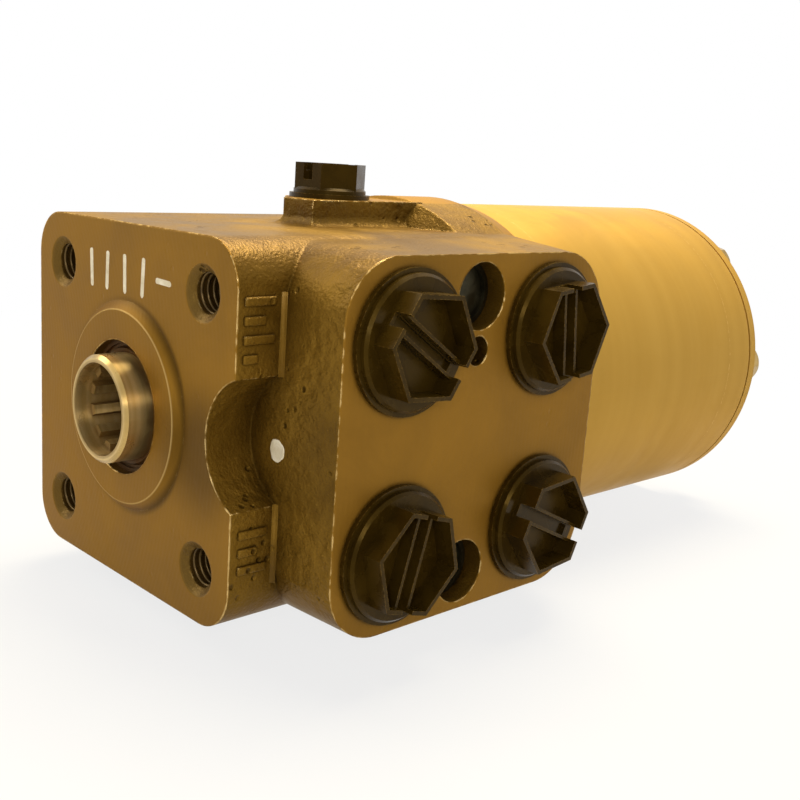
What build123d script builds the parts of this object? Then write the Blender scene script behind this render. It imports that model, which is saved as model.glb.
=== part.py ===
"""Orbital steering unit: a rotary spool valve and a gerotor metering set in one cast housing.

The origin is the centre of the column mounting face, on the axis of the spool.
+Y runs from the mounting face to the end cover, +X is the port side and +Z is up.
"""

import os
from math import cos, pi, radians, sin

from build123d import *

os.makedirs("parts", exist_ok=True)

# ---- Driving dimensions, in millimetres ----

# How far a cut runs past the face it opens, and a hair to find edges by
run_out = 1.0
edge_margin = 0.01

# Column flange and the square body behind it
flange_width = 81.8
flange_height = 81.5
flange_thickness = 11.5
flange_corner = 10.0
column_bolt_pitch = 58.3
column_thread_radius = 4.25
column_thread_depth = 16.0
column_countersink = 6.0
column_countersink_angle = 100
notch_radius = 14.6
notch_centre_x = 46.0
pilot_height = 1.85
pilot_face_radius = 21.8
pilot_base_radius = 23.7

# Port block
port_face_x = 59.0
port_middle_y = 51.1
block_root_x = 24.0
block_front = 11.5
block_length = 80.5
block_height = 78.8
block_root_height = 81.0
block_corner = 13.5
block_rear_corner = 15.0
block_root_length = 85.5
block_root_rear_corner = 2.0
port_pitch_y = 44.6
port_pitch_z = 44.4
port_thread_radius = 9.3
port_thread_depth = 14.0
port_chamfer = 1.6
port_chamfer_angle = 90
port_gallery_radius = 4.5
port_gallery_end_x = 15.0
recess_radius = 7.2
recess_depth = 7.0
cup_height = 2.2
cup_wall = 1.0
recess_y = 49.6
recess_pitch = 61.0
passage_radius = 2.5
locating_hole_radius = 3.2
locating_hole_depth = 12.0
locating_hole_z = 18.9

# Top pad: a round boss for the pilot port with a straight rib beside it
pad_top = 47.0
pad_width = 22.0
pad_rib_front = 42.6
pad_foot_fillet = 2.5
pilot_port_y = 57.0
pilot_port_radius = 5.9
pilot_port_depth = 12.0
pilot_passage_radius = 2.0

# Rear flange of the casting and the length of the housing
housing_length = 100.0
rear_flange_front = 77.0
square_length = 79.0
rear_flange_radius = 48.0
rear_flange_taper = 6.0
rear_flange_cone = 8.0
rear_flange_root = 39.0
rear_flange_step = 0.4

# Bores on the main axis
dust_seal_radius = 15.1
dust_seal_depth = 4.5
dust_lip_front = 0.2
dust_lip_edge = 0.6
dust_lip_thickness = 0.9
dust_lip_root = 1.4
dust_lip_rear = 1.2
dust_case_front = 0.4
dust_case_wall = 0.9
dust_dish_depth = 1.2
neck_bore_radius = 12.4
shaft_seal_front = 6.0
shaft_seal_width = 3.2
shaft_seal_radius = 15.3
shaft_seal_round = 0.5
main_bore_front = 11.0
main_bore_radius = 19.0
gallery_ys = [36.0, 57.0, 67.0, 77.0]
gallery_depth = 2.5
gallery_width = 5.0

# Spool, sleeve and what turns with them
running_clearance = 0.03
side_clearance = 0.1
neck_radius = 12.1
neck_reach = 7.0
sleeve_wall = 4.5
spool_wall = 3.3
spline_teeth = 12
spline_major_radius = 10.4
spline_minor_radius = 8.8
spline_lead_in = 4.0
spline_length = 20.0
spline_space = 2.6
neck_chamfer = 0.8
slot_count = 6
slot_width = 3.0
slot_depth = 1.6
long_slot_front = 54.0
long_slot_length = 34.0
short_slot_front = 63.0
short_slot_length = 14.0
sleeve_groove_ys = [62.0, 72.0]
sleeve_groove_width = 2.0
sleeve_groove_depth = 0.8
sleeve_hole_rows = [(57.0, 6, 1.6), (77.0, 6, 1.6), (85.0, 7, 1.6)]
spool_offset_limit = 8.0
cross_pin_radius = 4.0
cross_pin_y = 46.0
spring_slot_y = 27.0
spring_width = 6.0
spring_slot_width = 5.4
leaf_thickness = 0.6
leaf_gap = 0.04
leaf_bow = 0.7
pin_chamfer = 0.6
spring_ring_thickness = 1.3
spring_ring_width = 8.0

# Thrust bearing on the neck
race_thickness = 2.0
needle_radius = 0.97
needle_end_wall = 1.55
needle_count = 16
cage_thickness = 1.4
race_relief = 0.4

# Gear set and what clamps it
gear_radius = 46.3
plate_thickness = 7.0
ring_width = 74.0
cover_thickness = 16.3
cover_rim = 3.9
cover_groove_width = 0.8
cover_groove_depth = 0.6
cover_chamfer = 0.8
lobe_count = 7
lobe_centre_radius = 33.0
lobe_radius = 8.0
eccentricity = 3.0
mesh_clearance = 0.07
star_side_clearance = 0.02
plate_bore_radius = 11.5
screw_circle_radius = 37.5
screw_radius = 4.0
screw_hole_radius = 4.25
screw_head_across_flats = 13.0
screw_head_height = 5.3
screw_crown_angle = 27
screw_reach = 16.0
screw_thread_clearance = 0.05
screw_hole_run = 2.0
washer_thickness = 1.5
washer_radius = 7.0
channel_radius = 2.2
channel_front = 84.0
channel_rear_radius = 26.5
o_ring_radius = 43.8
o_ring_section = 0.75
o_ring_sides = 8
o_ring_groove_depth = 1.5
o_ring_groove_width = 2.0

# Drive shaft
drive_spline_teeth = 12
drive_spline_major_radius = 9.4
drive_spline_minor_radius = 7.9
drive_spline_length = 9.0
drive_shaft_play = 2.6
fork_play = 0.74
fork_clearance = 0.06
fork_front = 36.0
fork_rear = 56.0
fork_root_clearance = 0.8
spacer_length = 8.0
spacer_bore_radius = 3.0
spacer_clearance = 0.4
drive_tooth_width = 2.0
drive_tooth_crown = 0.3
drive_tooth_land = 2.0
fork_chamfer = 1.0
fork_shoulder = 4.0
star_spline_minor_radius = 8.4
star_spline_major_radius = 9.9
star_spline_space = 2.7
star_spline_length = 24.0
star_bore_radius = 11.0
star_outline_arcs = 72

# Check valve under the special screw
check_ball_radius = 3.0
check_ball_clearance = 0.25
check_seat_radius = 2.0
check_chamber_length = 7.0
check_lift = 1.2
stop_pin_radius = 1.3
bushing_length = 4.0
bushing_clearance = 0.8

# Plastic plugs in the ports
plug_flange_radius = 15.0
plug_flange_thickness = 2.6
plug_height = 7.6
plug_across_flats = 20.8
plug_wall = 0.9
plug_slot_width = 3.0
plug_slot_depth = 4.0
plug_rib_gap = 2.6
plug_rib_thickness = 0.9
plug_stem_length = 9.0
plug_seat = 0.02
pilot_plug_flange_radius = 10.0
pilot_plug_across_flats = 15.6
pilot_plug_height = 8.4
pilot_plug_turn = 94.5
plug_flange_chamfer = 0.6
plug_rib_drop = 1.8
plug_disc_step = 1.0
plug_disc_step_height = 1.1

# ---- Positions that follow from the driving dimensions ----

half_height = flange_height / 2
block_middle = block_front + block_length / 2
screw_angles = [360 / lobe_count * k for k in range(lobe_count)]
chamber_angles = [angle + 180 / lobe_count for angle in screw_angles]
valve_angle = screw_angles[-1]

sleeve_radius = main_bore_radius - running_clearance
sleeve_bore_radius = sleeve_radius - sleeve_wall
spool_radius = sleeve_bore_radius - running_clearance
spool_bore_radius = spool_radius - spool_wall
fork_radius = spool_bore_radius - fork_play

outer_race_front = main_bore_front
cage_front = outer_race_front + race_thickness
inner_race_front = cage_front + 2 * (needle_radius + running_clearance)
sleeve_front = inner_race_front + race_thickness + side_clearance
sleeve_rear = housing_length - side_clearance

plate_front = housing_length
ring_front = plate_front + plate_thickness
cover_front = ring_front + ring_width
cover_rear = cover_front + cover_thickness
star_front = ring_front + star_side_clearance
star_width = ring_width - 2 * star_side_clearance

spacer_front = cover_front - side_clearance - spacer_length
drive_spline_rear = spacer_front - side_clearance - spacer_clearance
drive_spline_middle = drive_spline_rear - drive_spline_length / 2
shaft_swing = eccentricity * (sleeve_rear - cross_pin_y) / (drive_spline_middle - cross_pin_y)
drive_shaft_radius = spool_bore_radius - shaft_swing - drive_shaft_play

bushing_front = housing_length - screw_reach - screw_hole_run
valve_seat_y = bushing_front - check_chamber_length
check_chamber_radius = check_ball_radius + check_ball_clearance
valve_x = screw_circle_radius * cos(radians(valve_angle))
valve_z = screw_circle_radius * sin(radians(valve_angle))
passage_end_x = valve_x
check_ball_rise = (check_ball_radius**2 - check_seat_radius**2) ** 0.5 + running_clearance


def section(y):
    """Return the plane across the axis at y, seen from the front: local x is X and local y is Z."""
    return Plane.XZ.offset(-y)


def polar(radius, angle, y):
    """Return the point at a radius and an angle from +X about the main axis."""
    return (radius * cos(radians(angle)), y, radius * sin(radians(angle)))


def turned(outline, plane=Plane.XY):
    """Return the body of revolution of an outline of (radius, height) about a plane's y axis."""
    with BuildPart() as body:
        with BuildSketch(plane):
            with BuildLine():
                Polyline(*outline, close=True)
            make_face()
        revolve(axis=Axis(plane.origin, plane.y_dir))
    return body.part


def collar(inner, outer, front, rear):
    """Return a plain ring about the main axis."""
    return turned([(inner, front), (outer, front), (outer, rear), (inner, rear)])


def drilling(start, end):
    """Return the plane that a straight drilling starts from, and its length."""
    run = Vector(*end) - Vector(*start)
    return Plane(origin=start, z_dir=run), run.length


def save(part, name):
    """Label a finished piece and write it to its own file."""
    part.label = name
    export_step(part, f"parts/{name}.step")


# ---- Housing ----
# One iron casting: column flange, square body, port block, top pad and round rear flange,
# bored through for the valve and drilled for the ports, the screws and the check valve.

# Each port: middle in Y and Z, turn of its plug's slot, and the gallery it opens into
ports = {
    "port_plug_p": (port_middle_y - port_pitch_y / 2, port_pitch_z / 2, 146.0, gallery_ys[0]),
    "port_plug_t": (port_middle_y + port_pitch_y / 2, port_pitch_z / 2, 96.9, gallery_ys[2]),
    "port_plug_l": (port_middle_y - port_pitch_y / 2, -port_pitch_z / 2, 74.4, gallery_ys[1]),
    "port_plug_r": (port_middle_y + port_pitch_y / 2, -port_pitch_z / 2, 155.0, gallery_ys[3]),
}

bore_outline = [
    (0, -2 * pilot_height),
    (dust_seal_radius, -2 * pilot_height),
    (dust_seal_radius, dust_seal_depth),
    (neck_bore_radius, dust_seal_depth),
    (neck_bore_radius, shaft_seal_front),
    (shaft_seal_radius, shaft_seal_front),
    (shaft_seal_radius, shaft_seal_front + shaft_seal_width),
    (neck_bore_radius, shaft_seal_front + shaft_seal_width),
    (neck_bore_radius, main_bore_front),
    (main_bore_radius, main_bore_front),
]
for gallery_y in gallery_ys:
    bore_outline += [
        (main_bore_radius, gallery_y - gallery_width / 2),
        (main_bore_radius + gallery_depth, gallery_y - gallery_width / 2),
        (main_bore_radius + gallery_depth, gallery_y + gallery_width / 2),
        (main_bore_radius, gallery_y + gallery_width / 2),
    ]
bore_outline += [(main_bore_radius, housing_length + run_out), (0, housing_length + run_out)]

with BuildPart() as housing:
    # square body
    with BuildSketch(section(0)):
        RectangleRounded(flange_width, flange_height, flange_corner)
    extrude(amount=-square_length)

    # top pad, with the casting's fillet round its foot
    with BuildSketch(Plane.XY.offset(half_height)):
        with Locations((0, pilot_port_y)):
            Circle(pad_width / 2)
            Rectangle(
                pad_width, square_length - pilot_port_y, align=(Align.CENTER, Align.MIN)
            )
        with Locations((0, pad_rib_front)):
            Rectangle(
                pad_width / 2, square_length - pad_rib_front, align=(Align.MIN, Align.MIN)
            )
    extrude(amount=pad_top - half_height)
    foot = edges().filter_by_position(Axis.Z, half_height - edge_margin, half_height + edge_margin)
    foot = foot.filter_by_position(Axis.X, -pad_width / 2, pad_width / 2)
    foot = foot.filter_by_position(Axis.Y, pad_rib_front - edge_margin, square_length - edge_margin)
    fillet(foot, pad_foot_fillet)

    # round rear flange, coned at its front and turned down towards the gear set
    with BuildSketch(Plane.XY):
        with BuildLine():
            Polyline(
                (0, rear_flange_front - rear_flange_cone),
                (rear_flange_root, rear_flange_front - rear_flange_cone),
                (rear_flange_radius, rear_flange_front),
                (rear_flange_radius, housing_length - rear_flange_taper),
                (gear_radius + rear_flange_step, housing_length),
                (0, housing_length),
                close=True,
            )
        make_face()
    revolve(axis=Axis.Y)

    # port block, drafted from its root to the port face
    with BuildSketch(Plane.YZ.offset(block_root_x)):
        with Locations((block_front + block_root_length / 2, 0)):
            Rectangle(block_root_length, block_root_height)
        fillet(vertices().group_by(Axis.X)[0], block_corner)
        fillet(vertices().group_by(Axis.X)[-1], block_root_rear_corner)
    with BuildSketch(Plane.YZ.offset(port_face_x)):
        with Locations((block_middle, 0)):
            Rectangle(block_length, block_height)
        fillet(vertices().group_by(Axis.X)[0], block_corner)
        fillet(vertices().group_by(Axis.X)[-1], block_rear_corner)
    loft()

    # pilot ring
    with BuildSketch(Plane.XY):
        with BuildLine():
            Polyline(
                (0, run_out),
                (pilot_base_radius, run_out),
                (pilot_base_radius, 0),
                (pilot_face_radius, -pilot_height),
                (0, -pilot_height),
                close=True,
            )
        make_face()
    revolve(axis=Axis.Y)

    # notch in the flange on the port side
    with BuildSketch(section(-run_out)):
        with Locations((notch_centre_x, 0)):
            Circle(notch_radius)
    extrude(amount=-(flange_thickness + run_out), mode=Mode.SUBTRACT)

    # bores on the main axis
    with BuildSketch(Plane.XY):
        with BuildLine():
            Polyline(*bore_outline, close=True)
        make_face()
    revolve(axis=Axis.Y, mode=Mode.SUBTRACT)

    # four tapped holes for the steering column
    with Locations(section(0)):
        with GridLocations(column_bolt_pitch, column_bolt_pitch, 2, 2):
            CounterSinkHole(
                column_thread_radius,
                column_countersink,
                column_thread_depth,
                column_countersink_angle,
            )

    # tapped ports, each with its gallery to the bore
    with Locations(Plane.YZ.offset(port_face_x)):
        with Locations(*[(y, z) for y, z, turn, gallery_y in ports.values()]):
            CounterSinkHole(
                port_thread_radius,
                port_thread_radius + port_chamfer,
                port_thread_depth,
                port_chamfer_angle,
            )
    for y, z, turn, gallery_y in ports.values():
        start_x = port_face_x - port_thread_depth + run_out
        plane, length = drilling((start_x, y, z), (port_gallery_end_x, gallery_y, z / 2))
        with BuildSketch(plane):
            Circle(port_gallery_radius)
        extrude(amount=length, mode=Mode.SUBTRACT)

    # recesses for the cup plugs with the passages they close, and the locating hole
    with Locations(Plane.YZ.offset(port_face_x)):
        with Locations((recess_y, recess_pitch / 2), (recess_y, -recess_pitch / 2)):
            CounterBoreHole(passage_radius, recess_radius, recess_depth, port_face_x - passage_end_x)
        with Locations((recess_y, locating_hole_z)):
            Hole(locating_hole_radius, locating_hole_depth)

    # pilot port in the top pad, with its passage to the bore
    with Locations(Plane.XY.offset(pad_top)):
        with Locations((0, pilot_port_y)):
            CounterSinkHole(
                pilot_port_radius,
                pilot_port_radius + port_chamfer / 2,
                pilot_port_depth,
                port_chamfer_angle,
            )
            Hole(pilot_passage_radius, pad_top - main_bore_radius + run_out)

    # tapped holes for the cover screws and the slanted channels to the gear set
    with Locations(section(housing_length).rotated((180, 0, 0))):
        with PolarLocations(screw_circle_radius, lobe_count):
            Hole(screw_radius + screw_thread_clearance, screw_reach + screw_hole_run)
    for angle in chamber_angles:
        plane, length = drilling(
            polar(channel_rear_radius + run_out / 2, angle, housing_length + run_out),
            polar(main_bore_radius - run_out, angle, channel_front),
        )
        with BuildSketch(plane):
            Circle(channel_radius)
        extrude(amount=length, mode=Mode.SUBTRACT)

    # groove for the O-ring in the rear face
    with BuildSketch(section(housing_length)):
        Circle(o_ring_radius + o_ring_groove_width / 2)
        Circle(o_ring_radius - o_ring_groove_width / 2, mode=Mode.SUBTRACT)
    extrude(amount=o_ring_groove_depth, mode=Mode.SUBTRACT)

    # check valve chamber under the last screw hole, with its passages to the cross drilling
    # and to the return gallery
    for radius, start, end in [
        (check_chamber_radius, (valve_x, housing_length, valve_z), (valve_x, valve_seat_y, valve_z)),
        (check_seat_radius, (valve_x, valve_seat_y + run_out, valve_z), (valve_x, recess_y, valve_z)),
        (check_seat_radius, (valve_x, gallery_ys[2], valve_z), (0, gallery_ys[2], 0)),
    ]:
        plane, length = drilling(start, end)
        with BuildSketch(plane):
            Circle(radius)
        extrude(amount=length, mode=Mode.SUBTRACT)

save(housing.part, "housing")

# ---- Cup plugs ----
# Two pressed steel cups that close the drilled passages in the port face.

cup_bottom = port_face_x - recess_depth
cup_radius = recess_radius - side_clearance / 2
with BuildPart() as cup_plugs:
    for z in (recess_pitch / 2, -recess_pitch / 2):
        cup_plane = Plane(origin=(cup_bottom, recess_y, z), x_dir=(0, 1, 0), z_dir=(0, 0, -1))
        add(turned(
            [
                (0, 0),
                (cup_radius, 0),
                (cup_radius, cup_height),
                (cup_radius - cup_wall, cup_height),
                (cup_radius - cup_wall, cup_wall),
                (0, cup_wall),
            ],
            cup_plane,
        ))
save(cup_plugs.part, "cup_plugs")

# ---- Seals at the neck ----
# A rubber dust seal with a lip in the pilot ring, and the pressure seal behind the web.

seal_bore = neck_radius + running_clearance
with BuildPart() as dust_seal:
    add(turned([
        (seal_bore, dust_lip_edge),
        (seal_bore + dust_lip_thickness, dust_lip_front),
        (seal_bore + dust_lip_root, dust_dish_depth),
        (dust_seal_radius - dust_case_wall, dust_dish_depth),
        (dust_seal_radius - dust_case_wall, dust_case_front),
        (dust_seal_radius - running_clearance, dust_case_front),
        (dust_seal_radius - running_clearance, dust_seal_depth),
        (seal_bore + dust_lip_rear, dust_seal_depth),
    ]))
save(dust_seal.part, "dust_seal")

with BuildPart() as shaft_seal:
    add(collar(
        seal_bore,
        shaft_seal_radius - running_clearance,
        shaft_seal_front + side_clearance / 2,
        shaft_seal_front + shaft_seal_width - side_clearance / 2,
    ))
    chamfer(edges().filter_by(GeomType.CIRCLE), shaft_seal_round)
save(shaft_seal.part, "shaft_seal")

# ---- Thrust bearing on the neck ----
# Two hardened races with a caged row of needles between them.

race_bore = neck_radius + side_clearance
race_outer = main_bore_radius - side_clearance
with BuildPart() as outer_race:
    add(collar(neck_bore_radius + race_relief, race_outer, outer_race_front, cage_front))
save(outer_race.part, "outer_race")

with BuildPart() as inner_race:
    add(collar(race_bore, race_outer, inner_race_front, inner_race_front + race_thickness))
save(inner_race.part, "inner_race")

cage_middle = (cage_front + inner_race_front) / 2
needle_middle_radius = (race_bore + race_outer) / 2
needle_length = race_outer - race_bore - 2 * needle_end_wall
with BuildPart() as needle_cage:
    add(collar(
        race_bore + race_relief,
        race_outer - race_relief,
        cage_middle - cage_thickness / 2,
        cage_middle + cage_thickness / 2,
    ))
    with BuildSketch(section(cage_middle + cage_thickness)):
        with PolarLocations(needle_middle_radius, needle_count):
            Rectangle(needle_length + 2 * running_clearance, 2 * needle_radius + running_clearance)
    extrude(amount=2 * cage_thickness, mode=Mode.SUBTRACT)
save(needle_cage.part, "needle_cage")

with BuildPart() as thrust_needles:
    for k in range(needle_count):
        angle = 360 / needle_count * k
        plane, length = drilling(
            polar(needle_middle_radius - needle_length / 2, angle, cage_middle),
            polar(needle_middle_radius + needle_length / 2, angle, cage_middle),
        )
        with BuildSketch(plane):
            Circle(needle_radius)
        extrude(amount=length)
save(thrust_needles.part, "thrust_needles")

# ---- Spool ----
# The input shaft: splined neck for the steering column, then the valve spool with its
# axial slots, the window for the springs and the oversize holes for the cross pin.

pin_hole_radius = cross_pin_radius + spool_radius * sin(radians(spool_offset_limit)) + side_clearance
spline_front = spline_lead_in - neck_reach
spline_rear = spline_front + spline_length

with BuildPart() as spool:
    add(turned([
        (spline_minor_radius, -neck_reach),
        (neck_radius - neck_chamfer, -neck_reach),
        (neck_radius, neck_chamfer - neck_reach),
        (neck_radius, sleeve_front),
        (spool_radius, sleeve_front),
        (spool_radius, sleeve_rear),
        (spool_bore_radius, sleeve_rear),
        (spool_bore_radius, spline_rear),
        (spline_minor_radius, spline_rear),
    ]))
    # plain lead-in, then the internal splines
    with BuildSketch(section(-neck_reach)):
        Circle(spline_major_radius)
    extrude(amount=-spline_lead_in, mode=Mode.SUBTRACT)
    with BuildSketch(section(spline_front)):
        with PolarLocations((spline_major_radius + spline_minor_radius - run_out) / 2, spline_teeth):
            Rectangle(spline_major_radius - spline_minor_radius + run_out, spline_space)
    extrude(amount=-spline_length, mode=Mode.SUBTRACT)
    # long and short axial slots, by turns
    with BuildSketch(section(long_slot_front)):
        with PolarLocations(spool_radius, slot_count):
            Rectangle(2 * slot_depth, slot_width)
    extrude(amount=-long_slot_length, mode=Mode.SUBTRACT)
    with BuildSketch(section(short_slot_front)):
        with PolarLocations(spool_radius, slot_count, start_angle=180 / slot_count):
            Rectangle(2 * slot_depth, slot_width)
    extrude(amount=-short_slot_length, mode=Mode.SUBTRACT)
    # holes for the cross pin and window for the springs
    with Locations(Plane.XY):
        with Locations((0, cross_pin_y)):
            Hole(pin_hole_radius)
    with BuildSketch(Plane.YZ):
        with Locations((spring_slot_y, 0)):
            Rectangle(spring_width + 2 * side_clearance, spring_slot_width)
    extrude(amount=spool_radius + run_out, both=True, mode=Mode.SUBTRACT)
save(spool.part, "spool")

# ---- Sleeve ----
# The outer valve member, with rows of radial holes and three annular grooves, slotted for the
# springs, bored for the cross pin and relieved for the ring that keeps the springs in.

ring_groove_front = spring_slot_y - spring_ring_width / 2
ring_groove_radius = sleeve_radius - spring_ring_thickness - side_clearance
with BuildPart() as sleeve:
    add(collar(sleeve_bore_radius, sleeve_radius, sleeve_front, sleeve_rear))
    # seat of the spring ring
    add(collar(
        ring_groove_radius,
        sleeve_radius + run_out,
        ring_groove_front - side_clearance,
        ring_groove_front + spring_ring_width + side_clearance,
    ), mode=Mode.SUBTRACT)
    # annular grooves between the galleries
    for y in sleeve_groove_ys:
        add(collar(
            sleeve_radius - sleeve_groove_depth,
            sleeve_radius + run_out,
            y - sleeve_groove_width / 2,
            y + sleeve_groove_width / 2,
        ), mode=Mode.SUBTRACT)
    # rows of radial holes at the galleries and over the channels
    for y, count, radius in sleeve_hole_rows:
        for k in range(count):
            angle = 360 / count * (k + 0.5)
            plane, length = drilling((0, y, 0), polar(sleeve_radius + run_out, angle, y))
            with BuildSketch(plane):
                Circle(radius)
            extrude(amount=length, mode=Mode.SUBTRACT)
    # hole for the cross pin and window for the springs
    with Locations(Plane.XY):
        with Locations((0, cross_pin_y)):
            Hole(cross_pin_radius + running_clearance)
    with BuildSketch(Plane.YZ):
        with Locations((spring_slot_y, 0)):
            Rectangle(spring_width + 2 * side_clearance, spring_slot_width)
    extrude(amount=sleeve_radius + run_out, both=True, mode=Mode.SUBTRACT)
save(sleeve.part, "sleeve")

with BuildPart() as spring_ring:
    add(collar(
        sleeve_radius - spring_ring_thickness,
        sleeve_radius,
        ring_groove_front,
        ring_groove_front + spring_ring_width,
    ))
save(spring_ring.part, "spring_ring")

cross_pin_reach = (sleeve_radius**2 - cross_pin_radius**2) ** 0.5
with BuildPart() as cross_pin:
    with BuildSketch(Plane(origin=(0, cross_pin_y, 0))):
        Circle(cross_pin_radius)
    extrude(amount=cross_pin_reach, both=True)
    chamfer(edges().filter_by(GeomType.CIRCLE), pin_chamfer)
save(cross_pin.part, "cross_pin")

# ---- Centring springs ----
# Two flat leaves in the middle and two bowed leaves on each side of them.

leaf_reach = (ring_groove_radius**2 - (spring_slot_width / 2) ** 2) ** 0.5 - side_clearance
with BuildPart() as centring_springs:
    for side in (1, -1):
        with BuildSketch(section(spring_slot_y - spring_width / 2)):
            with Locations((0, side * (leaf_thickness / 2 + leaf_gap / 2))):
                Rectangle(2 * leaf_reach, leaf_thickness)
        extrude(amount=-spring_width)
        for rank in (1, 2):
            near = rank * (leaf_thickness + leaf_gap) + leaf_gap / 2
            with BuildSketch(section(spring_slot_y - spring_width / 2)):
                with BuildLine():
                    low = ThreePointArc(
                        (-leaf_reach, side * (near + leaf_bow)),
                        (0, side * near),
                        (leaf_reach, side * (near + leaf_bow)),
                    )
                    high = ThreePointArc(
                        (leaf_reach, side * (near + leaf_bow + leaf_thickness)),
                        (0, side * (near + leaf_thickness)),
                        (-leaf_reach, side * (near + leaf_bow + leaf_thickness)),
                    )
                    Line(low @ 1, high @ 0)
                    Line(high @ 1, low @ 0)
                make_face()
            extrude(amount=-spring_width)
save(centring_springs.part, "centring_springs")

# ---- Drive shaft ----
# A forged shaft on a slightly tilted axis: its fork straddles the cross pin, and its crowned
# splines turn in the star as the star orbits.

tilt = Vector(eccentricity, drive_spline_middle - cross_pin_y, 0).normalized()
shaft_plane = Plane(
    origin=(0, cross_pin_y, 0), x_dir=(tilt.Y, -tilt.X, 0), z_dir=(0, 0, 1)
)
fork_front_reach = fork_front - cross_pin_y
fork_rear_reach = fork_rear - cross_pin_y
spline_rear_reach = drive_spline_rear - cross_pin_y
spline_front_reach = spline_rear_reach - drive_spline_length
with BuildPart() as drive_shaft:
    add(turned(
        [
            (0, fork_front_reach),
            (fork_radius - fork_chamfer, fork_front_reach),
            (fork_radius, fork_front_reach + fork_chamfer),
            (fork_radius, fork_rear_reach),
            (drive_shaft_radius, fork_rear_reach + fork_shoulder),
            (drive_shaft_radius, spline_front_reach),
            (drive_spline_minor_radius, spline_front_reach),
            (drive_spline_minor_radius, spline_rear_reach),
            (0, spline_rear_reach),
        ],
        shaft_plane,
    ))
    spline_plane = Plane(
        origin=shaft_plane.origin + tilt * spline_front_reach, x_dir=(0, 0, 1), z_dir=tilt
    )
    with BuildPart(mode=Mode.PRIVATE) as teeth:
        with BuildSketch(spline_plane):
            Circle(drive_spline_minor_radius - run_out / 2)
            with PolarLocations(
                (drive_spline_minor_radius + drive_spline_major_radius) / 2, drive_spline_teeth
            ):
                Rectangle(
                    drive_spline_major_radius - drive_spline_minor_radius + run_out,
                    drive_tooth_width,
                )
        extrude(amount=drive_spline_length)
        crown_middle = (spline_front_reach + spline_rear_reach) / 2
        add(turned(
            [
                (0, spline_front_reach),
                (drive_spline_major_radius - drive_tooth_crown, spline_front_reach),
                (drive_spline_major_radius, crown_middle - drive_tooth_land / 2),
                (drive_spline_major_radius, crown_middle + drive_tooth_land / 2),
                (drive_spline_major_radius - drive_tooth_crown, spline_rear_reach),
                (0, spline_rear_reach),
            ],
            shaft_plane,
        ), mode=Mode.INTERSECT)
    add(teeth.part)
    # slot of the fork
    slot_plane = Plane(
        origin=shaft_plane.origin + tilt * (fork_front_reach - run_out),
        x_dir=(0, 0, 1),
        z_dir=tilt,
    )
    with BuildSketch(slot_plane):
        Rectangle(2 * (fork_radius + run_out), 2 * (cross_pin_radius + fork_clearance))
    extrude(
        amount=run_out - fork_front_reach + cross_pin_radius + fork_root_clearance,
        mode=Mode.SUBTRACT,
    )
save(drive_shaft.part, "drive_shaft")

with BuildPart() as spacer:
    with BuildSketch(section(spacer_front)):
        with Locations((eccentricity, 0)):
            Circle(star_spline_minor_radius - side_clearance)
            Circle(spacer_bore_radius, mode=Mode.SUBTRACT)
    extrude(amount=-spacer_length)
save(spacer.part, "spacer")

# ---- Gerotor ----
# A ring with seven lobes and a star with six teeth, whose outline is the track of the lobes
# in the star's own frame, set inwards by the lobe's radius.

root_radius = lobe_centre_radius - lobe_radius + 2 * eccentricity + mesh_clearance


def star_point(t):
    """Return a point of the star's outline for the lobe that stands at angle t."""
    x = lobe_centre_radius * cos(t) - eccentricity * cos(lobe_count * t)
    z = lobe_centre_radius * sin(t) - eccentricity * sin(lobe_count * t)
    slope_x = lobe_centre_radius * cos(t) - lobe_count * eccentricity * cos(lobe_count * t)
    slope_z = lobe_centre_radius * sin(t) - lobe_count * eccentricity * sin(lobe_count * t)
    inward = (lobe_radius + mesh_clearance) / (slope_x**2 + slope_z**2) ** 0.5
    return (eccentricity + x - slope_x * inward, z - slope_z * inward)


with BuildPart() as gerotor_ring:
    with BuildSketch(section(ring_front)):
        Circle(gear_radius)
        Circle(root_radius, mode=Mode.SUBTRACT)
        with PolarLocations(lobe_centre_radius, lobe_count):
            Circle(lobe_radius)
        with PolarLocations(screw_circle_radius, lobe_count):
            Circle(screw_hole_radius, mode=Mode.SUBTRACT)
    extrude(amount=-ring_width)
    for face_y, depth in ((ring_front, -o_ring_groove_depth), (cover_front, o_ring_groove_depth)):
        with BuildSketch(section(face_y)):
            Circle(o_ring_radius + o_ring_groove_width / 2)
            Circle(o_ring_radius - o_ring_groove_width / 2, mode=Mode.SUBTRACT)
        extrude(amount=depth, mode=Mode.SUBTRACT)
save(gerotor_ring.part, "gerotor_ring")

with BuildPart() as gerotor_star:
    with BuildSketch(section(star_front)):
        with BuildLine():
            for k in range(star_outline_arcs):
                ThreePointArc(*[star_point(pi * (2 * k + i) / star_outline_arcs) for i in range(3)])
        make_face()
        with Locations((eccentricity, 0)):
            Circle(star_spline_minor_radius, mode=Mode.SUBTRACT)
    extrude(amount=-star_width)
    # clearance bore for the shaft, then the splines
    with BuildSketch(section(star_front)):
        with Locations((eccentricity, 0)):
            Circle(star_bore_radius)
    extrude(amount=-(star_width - star_spline_length), mode=Mode.SUBTRACT)
    star_spline_middle = (star_spline_minor_radius + star_spline_major_radius) / 2
    with BuildSketch(section(star_front + star_width - star_spline_length)):
        with Locations((eccentricity, 0)):
            with PolarLocations(star_spline_middle - run_out / 2, drive_spline_teeth):
                Rectangle(
                    star_spline_major_radius - star_spline_minor_radius + run_out,
                    star_spline_space,
                )
    extrude(amount=-star_spline_length, mode=Mode.SUBTRACT)
save(gerotor_star.part, "gerotor_star")

# ---- Distributor plate, end cover and O-rings ----

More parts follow.
